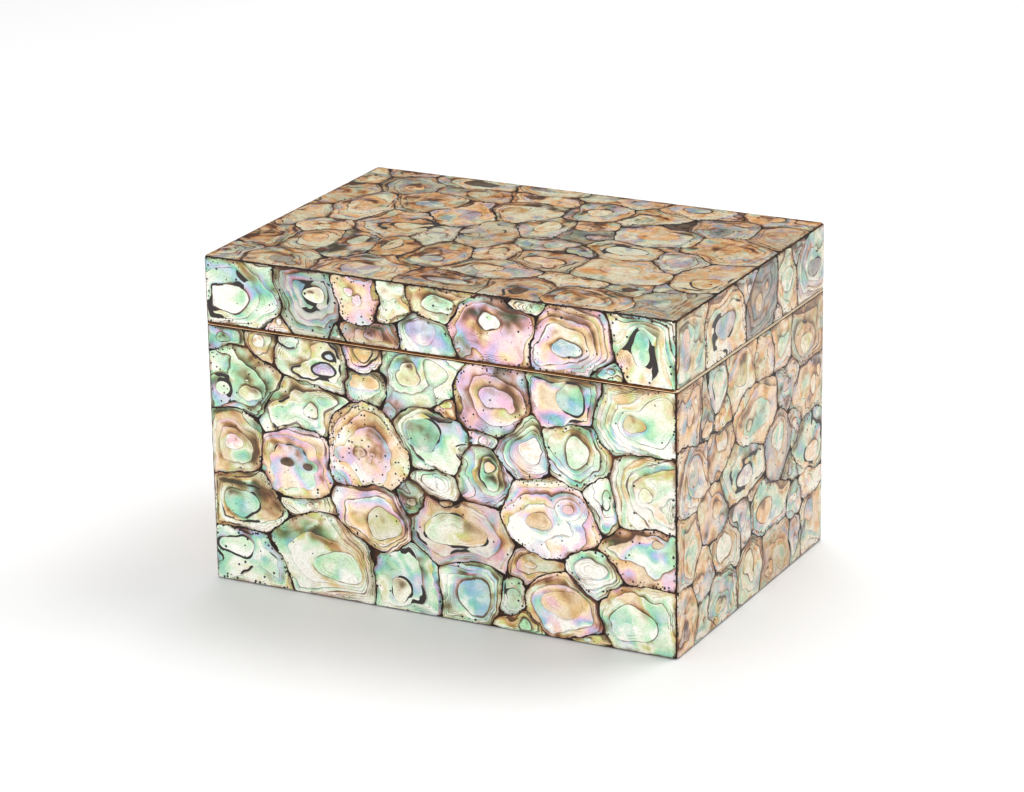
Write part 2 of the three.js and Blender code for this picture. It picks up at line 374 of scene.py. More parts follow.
# %% Lid, top
LAYOUT["lid_top"] = [
    (-117, -72, 9, 14, 0, "aqua", "g"),
    (-88, -74, 17, 15, 0, "gold", "t", (-88, -76, 6, 5, "dusk")),
    (-43, -71, 22, 20, 0, "gold", "gt", (-46, -75, 10, 9, "lilac")),
    (0, -75, 22, 11, 0, "tan", "b", (2, -75, 11, 3.5, "blue")),
    (37, -72, 15, 16, 0, "tan", "b", (39, -75, 4, 5, "brown")),
    (75, -72, 22, 14, 0, "cream", "gt", (73, -76, 5, 4, "white")),
    (111, -64, 14, 21, 0, "grey", "ggs", (108, -66, 4, 6, "blue")),
    (-115, -42, 12, 15, 0, "tan", "g"),
    (-90, -40, 13, 17, 0, "gold", "gt", (-90, -39, 6, 7, "cream")),
    (-69, -40, 11, 19, 10, "blue", "c", (-69, -34, 4, 8, "mint")),
    (-50, -34, 10, 16, 15, "green", "b", (-50, -34, 4, 8, "white")),
    (-23, -38, 15, 20, 0, "gold", "t", (-22, -46, 6, 4, "blue")),
    (12, -49, 22, 14, 0, "aqua", "wgt", (9, -49, 8, 5, "gold")),
    (2, -25, 9, 14, 0, "cream", "c", (1, -23, 4, 6, "white")),
    (31, -27, 20, 14, -20, "tan", "bg", (28, -28, 11, 5, "cream")),
    (71, -28, 23, 20, 0, "gold", "ct", (69, -27, 10, 6, "pink")),
    (53, -49, 15, 9, 0, "cream", "c"),
    (86, -52, 9, 7, 0, "aqua", "b", (86, -53, 3, 2, "brown")),
    (112, -24, 15, 20, 0, "gold", "bt", (114, -30, 7, 8, "white")),
    (106, -47, 8, 5, 0, "blue", "u"),
    (-117, -5, 9, 21, 0, "gold", "g"),
    (-97, -18, 12, 10, 0, "cream", "c"),
    (-64, -2, 19, 21, 0, "gold", "bbt", (-59, -3, 7, 5, "white")),
    (-38, -11, 11, 13, 0, "blue", "c"),
    (-15, 0, 15, 20, 0, "tan", "bct", (-23, -3, 4, 3.5, "grey")),
    (18, -4, 12, 9, 0, "lilac", "", (21, -3, 5, 5, "aqua")),
    (39, -6, 8, 7, 0, "aqua", "b"),
    (58, 2, 20, 14, -15, "gold", "bbt", (57, 2, 11, 6, "aqua")),
    (88, -3, 13, 17, 0, "lilac", "t", (88, -3, 6, 9, "lilac")),
    (-96, 20, 14, 22, 0, "cream", "gt", (-94, 24, 6, 11, "gold")),
    (-116, 38, 11, 19, 0, "tan", "b"),
    (-68, 39, 18, 15, 0, "green", "", (-67, 36, 8, 5, "blue")),
    (-43, 28, 15, 19, -20, "pink", "c", (-38, 24, 5, 7, "lilac")),
    (4, 22, 13, 17, 0, "mint", "ct", (5, 24, 6, 9, "white")),
    (29, 19, 11, 11, 0, "dusk", "b", (34, 17, 5, 4, "lilac")),
    (25, 33, 9, 7, 0, "white", "c"),
    (60, 30, 21, 17, -10, "aqua", "t", (60, 31, 11, 7, "gold")),
    (101, 22, 20, 19, 0, "gold", "gt", (104, 20, 4, 4, "gold")),
    (-17, 42, 18, 17, 0, "gold", "", (-22, 42, 7, 6, "green")),
    (-92, 63, 16, 15, 0, "grey", "gt", (-88, 59, 5, 5, "cream")),
    (-118, 69, 8, 13, 0, "mint", "c"),
    (-53, 61, 19, 9, 0, "tan", "g"),
    (-62, 79, 22, 10, 0, "mint", "gt", (-60, 78, 9, 4, "brown")),
    (-20, 65, 17, 9, 0, "pink", "g", (-24, 67, 5, 3, "brown")),
    (-22, 81, 19, 8, 0, "green", "t", (-30, 82, 4, 3, "dusk")),
    (16, 57, 14, 17, 0, "lilac", "t", (17, 56, 6, 6, "cream")),
    (20, 80, 18, 8, 0, "gold", "c"),
    (46, 59, 11, 14, 0, "gold", "b", (42, 53, 4, 4, "white")),
    (64, 77, 22, 10, 0, "cream", "bt", (60, 79, 7, 4, "blue")),
    (86, 55, 15, 15, -20, "blue", "gt", (86, 50, 6, 6, "dusk")),
    (114, 54, 11, 16, 0, "tan", "gg"),
    (104, 78, 17, 9, 0, "cream", "", (100, 80, 7, 4, "gold")),
    (-104, 81, 12, 7, 0, "tan", ""),
    (60, 48, 6, 4, -20, "brown", "bu"),
    (70, 13, 5, 3, 0, "tan", "u"),
    (28, -13, 6, 3, 0, "brown", "u"),
]
for name, rows in LAYOUT.items():
    print(name, len(rows), "shells set by hand")

# %% [markdown]
# ## The back and the left side
# Nobody chooses shells by eye for the sides that stand to the wall: they are laid in even courses, as they
# come to hand. So these two are set out by a seeded draw with the same sizes and tints.

# %% The two hidden sides
def draw_layout(panel, courses, seed):
    """Shells in staggered courses: equal course heights with a little jitter, and widths drawn between
    30 and 44 mm; now and then a narrow shell fills in between two wide ones."""
    draw = np.random.default_rng(seed)
    words = ["mint", "pink", "cream", "aqua", "white", "green", "tan", "gold", "lilac", "grey"]
    marks = ["", "w", "b", "g", "gg", "bg", "wg"]
    course_height = (panel.head - panel.foot) / courses
    rows = []
    for course in range(courses):
        level = panel.foot + (course + 0.5) * course_height
        edge = panel.left - draw.uniform(0, 12)
        while edge < panel.right - 6:
            narrow = draw.random() < 0.2
            width = draw.uniform(12, 18) if narrow else draw.uniform(30, 44)
            u = edge + width / 2
            v = level + draw.uniform(-0.14, 0.14) * course_height
            rows.append((u, v, width / 2, course_height * draw.uniform(0.46, 0.6), draw.uniform(-25, 25),
                         words[draw.integers(len(words))], marks[draw.integers(len(marks))]))
            edge += width
    return rows


HIDDEN_COURSES = {"base_back": 4, "lid_back": 1, "base_left": 4, "lid_left": 1}
HIDDEN_SEED = 40
for seed, (name, courses) in enumerate(HIDDEN_COURSES.items(), HIDDEN_SEED):
    LAYOUT[name] = draw_layout(panels[name], courses, seed)
    print(name, len(LAYOUT[name]), "shells drawn")

# %% [markdown]
# ## Trimming each shell to its neighbours
# Every shell has a distance in millimetres, negative inside its own oval and growing outside it. A point
# belongs to the shell whose distance is least, and the joint runs where two are equal, so joints curve
# round the bigger shell as they do on the real mosaic. A plain Voronoi cell would have straight sides.
# A shell that lies on top counts for more and keeps its own outline, and its neighbours are cut to it.
# From the eye, each direction is walked outwards until another shell, or the panel's edge, is nearer.
# Blending the neighbours with a soft minimum rounds the corners and leaves little wedges of resin there.
# Joints swell and narrow as they run; on the short sides, where the shells were ground closer, they are
# finer than on the front.

# %% Shells and the distances between them
JOINT = {"front": 0.72, "back": 0.72, "right": 0.45, "left": 0.45, "top": 0.62}   # width, by side
JOINT_LEAST, JOINT_MOST = 0.28, 2.0     # how far that width may shrink or swell
RANKS = [1.0, 1.3, 1.7]                 # how much an ordinary shell counts for
ON_TOP, UNDERNEATH = 2.1, 0.75
EYE_INSIDE = 3.0                        # how far from its shell's edge an eye lies, if there is room
OUT_OF_REACH = 1000
CORNER_SOFTNESS = 0.95                  # per millimetre; less would round the corners more
EDGE_SOFTNESS = 1.2                     # the same at the panel's edge, in millimetres
SLOW_LENGTH, SLOW_PUSH = 26, 1.3        # the joints' slow wander, in millimetres
QUICK_LENGTH, QUICK_PUSH = 6, 0.35      # and the quick one
NEIGHBOUR_GAP = 14                      # shells farther apart than this can't meet
WALK_STEPS, HALVINGS = 44, 8            # how finely an outline is looked for


class Shells:
    """A panel's shells as arrays, with the shared wander that bends all of its joints."""

    def __init__(self, panel, rows, seed):
        self.panel = panel
        self.seed = seed
        self.centre = np.array([row[:2] for row in rows], float)
        self.axes = np.array([row[2:4] for row in rows], float)
        self.turn = np.radians([row[4] for row in rows])
        self.tint = [TINTS[row[5]] for row in rows]
        self.marks = [row[6] for row in rows]
        self.eye = np.array([row[7][:2] if len(row) > 7 else row[:2] for row in rows], float)
        self.hearts = [row[7][2:] if len(row) > 7 else None for row in rows]
        self.twin = [row[8] if len(row) > 8 else None for row in rows]
        draw = np.random.default_rng(seed)
        self.rank = draw.choice(RANKS, len(rows))
        for own, marks in enumerate(self.marks):
            if "t" in marks or "u" in marks:
                self.rank[own] = ON_TOP if "t" in marks else UNDERNEATH
        self.bulge = draw.uniform(0, 2 * math.pi, (len(rows), 2))
        everyone = np.arange(len(rows))
        for own in everyone:
            self.settle_eye(own, np.delete(everyone, own))

    def settle_eye(self, own, others):
        """Keeps the eye inside its trimmed shell: of points spread over the oval, the one that lies well
        inside and nearest the place asked for."""
        turn = np.linspace(0, 2 * math.pi, 24, endpoint=False)
        share = np.linspace(0, 0.9, 7)[:, None]
        a, b = self.axes[own]
        c, s = math.cos(self.turn[own]), math.sin(self.turn[own])
        x, y = share * a * np.cos(turn), share * b * np.sin(turn)
        spread = np.stack([x * c - y * s, x * s + y * c], -1).reshape(-1, 2) + self.centre[own]
        spread = np.concatenate([self.eye[own][None], spread])
        inside = self.margin(spread, own, others)
        enough = min(0.6 * inside.max(), EYE_INSIDE)
        far = np.linalg.norm(spread - self.eye[own], axis=1) + OUT_OF_REACH * (inside < enough)
        self.eye[own] = spread[np.argmin(far)]
        if inside.max() < 1:       # below zero it has no room at all, and comes out as a speck
            print("crowded shell on", self.panel.name, self.centre[own], "margin", inside.max().round(2))

    def wander(self, points):
        """Where a point is looked up: pushed a millimetre or so slowly, and a few tenths quickly."""
        slow = [ripple(points, SLOW_LENGTH, self.seed + k) for k in (1, 2)]
        quick = [ripple(points, QUICK_LENGTH, self.seed + k) for k in (3, 4)]
        return points + SLOW_PUSH * np.stack(slow, -1) + QUICK_PUSH * np.stack(quick, -1)

    def distances(self, points, members):
        """Oval distance from every point to every member: (|M(x - p)| - 1) times the mean half width,
        with three and five soft lumps round the oval."""
        rel = points[..., None, :] - self.centre[members]
        c, s = np.cos(self.turn[members]), np.sin(self.turn[members])
        a, b = self.axes[members].T
        first = (rel[..., 0] * c + rel[..., 1] * s) / a
        second = (rel[..., 1] * c - rel[..., 0] * s) / b
        angle = np.arctan2(second, first)
        three, five = self.bulge[members].T
        lumps = 1 + 0.05 * np.cos(3 * angle + three) + 0.03 * np.cos(5 * angle + five)
        return (np.hypot(first, second) - lumps) * np.sqrt(a * b)

    def room(self, points):
        """Distance in from the edge of the area that shells may cover."""
        return self.panel.room(points[..., 0], points[..., 1]) - ARRIS

    def margin(self, points, own, others):
        """How much nearer this shell is than any other, less the joint; negative outside the shell."""
        looked = self.wander(points)
        mine = self.distances(looked, [own])
        rank, mine_rank = self.rank[others], self.rank[own]
        rest = 2 * (rank * self.distances(looked, others) - mine_rank * mine) / (rank + mine_rank)
        least = rest.min(-1)
        weights = np.exp(-CORNER_SOFTNESS * (rest - least[..., None]))
        rest = least - np.log(weights.sum(-1)) / CORNER_SOFTNESS
        joint = 0.62 + 0.62 * ripple(points, 12, self.seed + 5) + 0.30 * ripple(points, 3, self.seed + 6)
        apart = rest - JOINT[self.panel.side] * np.clip(joint, JOINT_LEAST, JOINT_MOST)
        edge = 2 * self.room(points)
        blend = np.clip(0.5 + 0.5 * (apart - edge) / EDGE_SOFTNESS, 0, 1)
        return apart * (1 - blend) + edge * blend - EDGE_SOFTNESS * blend * (1 - blend)

    def outline(self, own, angles):
        """Distance from the eye to the shell's edge along each angle: the first place where the margin
        turns negative, found by coarse steps and then by halving."""
        size = self.axes[own].max()
        gaps = np.linalg.norm(self.centre - self.centre[own], axis=1)
        others = np.flatnonzero((gaps < size + self.axes.max(1) + NEIGHBOUR_GAP) & (gaps > 0))
        way = np.stack([np.cos(angles), np.sin(angles)], -1)
        eye = self.eye[own]
        steps = np.linspace(0, 2.6 * size + 6, WALK_STEPS)
        inside = self.margin(eye + steps[:, None, None] * way, own, others) > 0
        first = np.argmin(inside, axis=0)
        near, far = steps[np.maximum(first - 1, 0)], steps[first]
        for _ in range(HALVINGS):
            middle = (near + far) / 2
            kept = self.margin(eye + middle[:, None] * way, own, others) > 0
            near, far = np.where(kept, middle, near), np.where(kept, far, middle)
        return near


# %% [markdown]
# ## Growth layers
# Grinding a curved shell flat cuts through its growth layers, and they show as contour lines, like the
# heights on a map. Each shell gets a height that falls from its eye to its rim and wanders on the way,
# with a steep bank at the eye's foot that keeps the next line off it. Some shells were ground through two
# eyes. The finish later turns whole numbers of that height into fine brown lines. The height's slope is
# stored beside it, so that a line keeps its width in millimetres wherever the layers crowd together.

# %% Height of the layers
EYE_LEVEL = 5.0                # the eye's outline is this layer's line
EYE_RISE = 0.85                # from there to the eye's middle, in layers
EYE_SHARE = 0.74               # the most of a shell's reach that an eye may take
LEAST_STEPS = 0.6              # layers from the eye to the rim, at least
BANK, BANK_WIDTH = 0.3, 0.8    # the bank at the eye's foot: layers, and millimetres
BROAD, FINE = 0.46, 0.06       # how far long and short ripples push the rings, in layers
FINE_LENGTH = 6.5              # of the short ripples, in millimetres
TWIN_RISE = 0.8                # height of a second eye's middle, in layers
# Painted sheen: on each panel, the flank of each ring that faces this way is painted lighter and its colour
# turns.
SHEEN_WAY = {"front": (-0.3, -0.95), "right": (0.2, -0.98), "top": (0.6, -0.8)}
PLAIN_SHEEN_WAY = (-0.3, -0.95)     # the flank of each ring that catches the light


def eye_outline(angles, reach, eye_size, draw):
    """Distance from the eye's middle to its outline: an oval with three and five lumps, kept inside."""
    oval = 1 / np.hypot(np.cos(angles) / eye_size[0], np.sin(angles) / eye_size[1])
    first, second = draw.uniform(0, 2 * math.pi, 2)
    bulge = 1 + 0.09 * np.cos(3 * (angles - first)) + 0.03 * np.cos(5 * (angles - second))
    return np.minimum(oval * bulge, EYE_SHARE * reach)


def growth(flat, radius, angles, reach, eye_size, twin, marks, seed):
    """Layer height: the eye's level on the eye's outline, then a number of steps down to the rim, more of
    them on one side than the other, so that rings there run out under the joint. Inside the eye it rises
    by less than one step. Ripples as long as the shell push the rings off centre, and a second bump or a
    second eye beside the first gives them something to go round."""
    draw = np.random.default_rng(seed)
    size = reach.mean()
    eye = eye_outline(angles, reach, eye_size, draw)
    steps = draw.uniform(0.3, 1.4) + size / 24 + 0.9 * marks.count("g") - 1.0 * marks.count("c")
    steps = max(steps, LEAST_STEPS)
    lean = draw.uniform(0.35, 0.95) * np.cos(angles - draw.uniform(0, 2 * math.pi))
    out = (radius - eye) / (reach - eye)
    bend = draw.uniform(0.0, 0.7)
    bank = BANK * (1 - np.exp(-np.maximum(radius - eye, 0) / BANK_WIDTH))
    outside = EYE_LEVEL - bank - steps * (1 + lean) * ((1 - bend) * out + bend * out ** 2)
    within = EYE_LEVEL + EYE_RISE * (1 - (radius / eye) ** 2)
    height = np.where(out > 0, outside, within)
    side = draw.uniform(0, 2 * math.pi)
    second = flat[0, 0] + 0.62 * size * np.array([math.cos(side), math.sin(side)])
    away = ((flat - second) ** 2).sum(-1)
    height = height + max(draw.uniform(-1.2, 1.2), 0) * np.exp(-away / (0.24 * size) ** 2)
    broad = ripple(flat, 1.3 * size + 2, seed)
    fine = ripple(flat, FINE_LENGTH, seed + 1)
    stray = BROAD * (1 + 1.5 * marks.count("s"))
    height = height + (stray * broad + FINE * fine) * np.clip(0.8 * radius / eye - 0.7, 0, 1)
    if twin:
        away = np.linalg.norm((flat - twin[:2]) / twin[2:], axis=-1)
        height = np.maximum(height, EYE_LEVEL + TWIN_RISE - TWIN_RISE * away)
    return height


def slopes(height, flat):
    """How the height rises per millimetre to the right and upwards, from the grid's own differences."""
    def across(field):
        wrapped = np.concatenate([field[:, -1:], field, field[:, :1]], 1)
        return (wrapped[:, 2:] - wrapped[:, :-2]) / 2
    h_out, h_round = np.gradient(height, axis=0), across(height)
    x_out, x_round = np.gradient(flat, axis=0), across(flat)
    area = x_out[..., 0] * x_round[..., 1] - x_out[..., 1] * x_round[..., 0]
    area = np.where(np.abs(area) < 1e-5, 1e-5, area)
    east = (h_out * x_round[..., 1] - h_round * x_out[..., 1]) / area
    north = (h_round * x_out[..., 0] - h_out * x_round[..., 0]) / area
    return np.stack([east, north], -1)


def banding(height, angles, seed, waves=7):
    """Soft bands that follow the rings: waves of the height and of whole turns round the eye."""
    draw = np.random.default_rng(seed)
    total = np.zeros_like(height)
    for _ in range(waves):
        turns = draw.integers(0, 4)
        total += np.cos(turns * angles + draw.uniform(0.8, 4.2) * height + draw.uniform(0, 2 * math.pi))
    return total * math.sqrt(2 / waves) * 0.6

# %% [markdown]
# ## One shell
# A shell is a grid of rings round its eye: a flat polished top, a softened rim, a wall that goes down into
# the resin and a closed back. Grid rings follow the outline, so the rim is as fine as the joints need. A
# flat mesh cut with booleans would need far more triangles for the same rims. Each point also carries what
# the finish needs to know there, because a finish alone can't tell one shell from the next.

# %% Shell grid
SHRINK = 0.08                       # each outline is taken in by this much, in millimetres,
NICK, NICK_LENGTH = 0.10, 2.6       # and nicked by this much, this often
LEAST_REACH = 0.25                  # a shell that has no room is left as a speck of this radius
RIM = 0.30                          # width of the softened rim
DROPS = (0.015, 0.06, 0.12, PIECE_DEPTH)    # how far its rings, and then the wall's foot, lie down
BUCKLE, BUCKLE_LENGTH = 0.025, 9    # how far the polished face is out of flat
MEAN_LIGHT = 0.61


def shell_grid(shells, own):
    """Rings from the eye outwards. Returns points of the closed body in metres and what each one carries:
    layer height, slope, distance from the rim, its tint and its light with a painted sheen, its eye's
    tint, its marks and three draws of its own."""
    panel, seed = shells.panel, 1000 * shells.seed + own
    draw = np.random.default_rng(seed)
    size = float(np.sqrt(shells.axes[own].prod()))
    spokes = int(np.clip(6.5 * size, 28, 88))
    angles = np.linspace(0, 2 * math.pi, spokes, endpoint=False)
    reach = shells.outline(own, angles)
    way = np.stack([np.cos(angles), np.sin(angles)], -1)
    nick = NICK * ripple(way * reach.mean(), NICK_LENGTH, seed + 7)
    reach = np.maximum(reach - SHRINK + nick, LEAST_REACH)
    rings = int(np.clip(1.3 * size, 7, 21))
    rim = np.maximum(1 - RIM / reach, 0.5)
    share = np.linspace(0, 1, rings)[:, None] ** 0.9 * rim
    edge = np.stack([1 - (1 - rim) * 0.45, 1 - (1 - rim) * 0.10, np.ones(spokes), np.ones(spokes)])
    share = np.concatenate([share, edge])
    radius = share * reach
    flat = shells.eye[own] + radius[..., None] * way
    plain_eye = np.clip(draw.uniform(0.16, 0.42) * size, 1.6, 8) * draw.uniform(0.75, 1.3, 2)
    eye_size, eye_tint = plain_eye, None
    if shells.hearts[own]:
        eye_size, eye_tint = shells.hearts[own][:2], shells.hearts[own][2]
    height = growth(flat, radius, angles, reach, eye_size, shells.twin[own], shells.marks[own], seed)
    rise = slopes(height, flat)
    rise[0] = rise[1].mean(0)
    rise[-2:] = rise[-3]
    slope = np.linalg.norm(rise, axis=-1)
    # painted sheen: lighter on the flank of each ring that faces the panel's way
    toward = np.array(SHEEN_WAY.get(panel.side, PLAIN_SHEEN_WAY))
    sheen = -(rise @ toward) / (slope + 0.10)
    bands = banding(height, angles, seed + 2)
    drift = banding(height, angles, seed + 3)
    inward = np.minimum(reach - radius, shells.room(flat) + 0.8)
    lift = np.full(share.shape, PROUD) + BUCKLE * ripple(flat, BUCKLE_LENGTH, seed + 9)
    lift[-len(DROPS):] -= np.array(DROPS)[:, None]
    points = panel.roll(flat[..., 0], flat[..., 1], lift)
    back = panel.roll(*shells.eye[own], np.array(PROUD - PIECE_DEPTH))
    points = np.concatenate([points[0, :1], points[1:].reshape(-1, 3), back[None]])

    def carried(field):
        return np.concatenate([field[0, :1], field[1:].ravel(), field[-1, :1]])

    phase, wash, shade = shells.tint[own]
    heart = TINTS[eye_tint] if eye_tint else (phase + draw.uniform(-0.2, 0.2), wash, shade)
    light = draw.uniform(-0.12, 0.12)
    marks = shells.marks[own]
    one = np.ones(len(points))
    # the pearl's colour and light both turn with the painted sheen
    swing = draw.choice([-1, 1]) * draw.uniform(0.06, 0.18)
    look = [phase + swing * carried(sheen) + 0.14 * carried(drift) + draw.uniform(-0.03, 0.03),
            MEAN_LIGHT + light + 0.22 * carried(sheen) + 0.17 * carried(bands), one * wash]
    return {
        "points": points, "spokes": spokes, "rings": len(share) - 1,
        "layer": carried(height), "slope": np.clip(carried(slope), 0.02, 2.0), "rim": carried(inward),
        "shade": one * shade, "look": np.stack(look, -1),
        "heart": one[:, None] * np.array(heart),
        "marks": one[:, None] * np.array([marks.count("w"), marks.count("b"), 0]) / 2,
        "draw": one[:, None] * draw.random(3),
    }


def grid_faces(spokes, rings, start):
    """Corner indices of one shell's body: a fan at the eye, quads between rings and a fan at the back."""
    here = np.arange(spokes)
    after = (here + 1) % spokes
    first = start + 1
    fan = np.stack([np.full(spokes, start), first + here, first + after], -1)
    ring = first + spokes * np.arange(rings - 1)[:, None]
    quads = np.stack([ring + here, ring + spokes + here, ring + spokes + after, ring + after], -1)
    last = first + spokes * (rings - 1)
    back = last + spokes
    cap = np.stack([last + after, last + here, np.full(spokes, back)], -1)
    return quads.reshape(-1, 4), np.concatenate([fan, cap])


# %% [markdown]
# ## The resin bed
# The shells sit in one sheet of dark resin that also turns the box's corners. The sheet is the panel's own
# map, drawn out on a grid that is close-set only where it rolls over an edge, with a back glued to the
# wood. Filling only the joints would leave slits wherever two outlines part.

# %% Resin sheet
SIDE_ROLL, EDGE_ROLL = 2.6, 2.0     # how much of a sheet is close-set along its sides, and top and bottom


def sheet_lines(start, end, roll):
    """Grid lines from start to end: five across each rolled edge and eight over the flat."""
    steps = np.linspace(0, 1, 6)[:-1]
    return np.concatenate([start + roll * steps, np.linspace(start + roll, end - roll, 9),
                           end - roll * steps[::-1]])


def resin_sheet(panel):
    """Points and quads of the closed sheet: outer grid, back grid, and a band joining their borders."""
    u, v = np.meshgrid(sheet_lines(panel.left, panel.right, SIDE_ROLL),
                       sheet_lines(panel.foot, panel.head, EDGE_ROLL))
    front = panel.roll(*panel.sheet(u, v), np.zeros_like(u))
    back = panel.back(u, v)
    rows, columns = u.shape
    index = np.arange(rows * columns).reshape(rows, columns)
    quads = np.stack([index[:-1, :-1], index[:-1, 1:], index[1:, 1:], index[1:, :-1]], -1).reshape(-1, 4)
    border = np.concatenate([index[0, :-1], index[:-1, -1], index[-1, :0:-1], index[:0:-1, 0]])
    ahead = np.roll(border, -1)
    shift = rows * columns
    band = np.stack([border, border + shift, ahead + shift, ahead], -1)
    points = np.concatenate([front.reshape(-1, 3), back.reshape(-1, 3)])
    return points, np.concatenate([quads, quads[:, ::-1] + shift, band])


# %% [markdown]
# ## From arrays to pieces
# On the real box a panel is one thing: shells and resin are ground down together. So a panel's sheet and
# all of its shells go into one mesh with two materials. Whole arrays go in at once, since adding a
# hundred thousand faces one by one would take minutes.

# %% Putting arrays into a mesh
def make_piece(name, points, quads, materials, triangles=np.zeros((0, 3), int), material_of=None,
               carried=None):
    """A smooth-shaded object at the origin, from whole arrays. carried maps attribute names to values."""
    mesh = bpy.data.meshes.new(name)
    if material_of is None:
        material_of = np.zeros(len(quads) + len(triangles))
    corners = np.concatenate([quads.ravel(), triangles.ravel()]).astype(np.int32)
    sizes = np.concatenate([np.full(len(quads), 4), np.full(len(triangles), 3)]).astype(np.int32)
    mesh.vertices.add(len(points))
    mesh.vertices.foreach_set("co", points.astype(np.float32).ravel())
    mesh.loops.add(len(corners))
    mesh.loops.foreach_set("vertex_index", corners)
    mesh.polygons.add(len(sizes))
    mesh.polygons.foreach_set("loop_start", np.concatenate([[0], np.cumsum(sizes)[:-1]]).astype(np.int32))
    mesh.polygons.foreach_set("material_index", material_of.astype(np.int32))
    mesh.polygons.foreach_set("use_smooth", np.ones(len(sizes), bool))
    mesh.update(calc_edges=True)
    for key, values in (carried or {}).items():
        kind = "FLOAT_VECTOR" if values.ndim == 2 else "FLOAT"
        field = "vector" if values.ndim == 2 else "value"
        mesh.attributes.new(key, kind, "POINT").data.foreach_set(field, values.astype(np.float32).ravel())
    mesh.validate()
    for material in materials:
        mesh.materials.append(material)
    piece = bpy.data.objects.new(name, mesh)
    bpy.context.scene.collection.objects.link(piece)
    return piece


CARRIED = {"layer": 1, "slope": 1, "rim": 1, "shade": 1, "look": 3, "heart": 3, "marks": 3, "draw": 3}


def mosaic(panel, rows, seed, shell_material, resin_material):
    """The whole panel: its resin sheet and every shell set in it, as one piece."""
    shells = Shells(panel, rows, seed)
    points, quads = resin_sheet(panel)
    all_points, all_quads, all_triangles = [points], [quads], []
    carried = {key: [np.zeros((len(points), 3) if width == 3 else len(points))]
               for key, width in CARRIED.items()}
    start = len(points)
    for own in range(len(rows)):
        grid = shell_grid(shells, own)
        quads, triangles = grid_faces(grid["spokes"], grid["rings"], start)
        all_points.append(grid["points"])
        all_quads.append(quads)
        all_triangles.append(triangles)
        for key in CARRIED:
            carried[key].append(grid[key])
        start += len(grid["points"])
    resin_quads = len(all_quads[0])
    quads, triangles = np.concatenate(all_quads), np.concatenate(all_triangles)
    material_of = np.zeros(len(quads) + len(triangles))
    material_of[:resin_quads] = 1
    piece = make_piece(panel.name + "_mosaic", np.concatenate(all_points), quads,
                       [shell_material, resin_material], triangles, material_of,
                       {key: np.concatenate(values) for key, values in carried.items()})
    print(piece.name, len(rows), "shells", 2 * len(quads) + len(triangles), "triangles")
    return piece

# %% [markdown]
# ## A short way to write finishes
# A finish is a chain of small steps: measure something, shape it, and mix two colours by it. These few
# helpers add one node each and hand back its output, so a finish reads from top to bottom like a recipe.

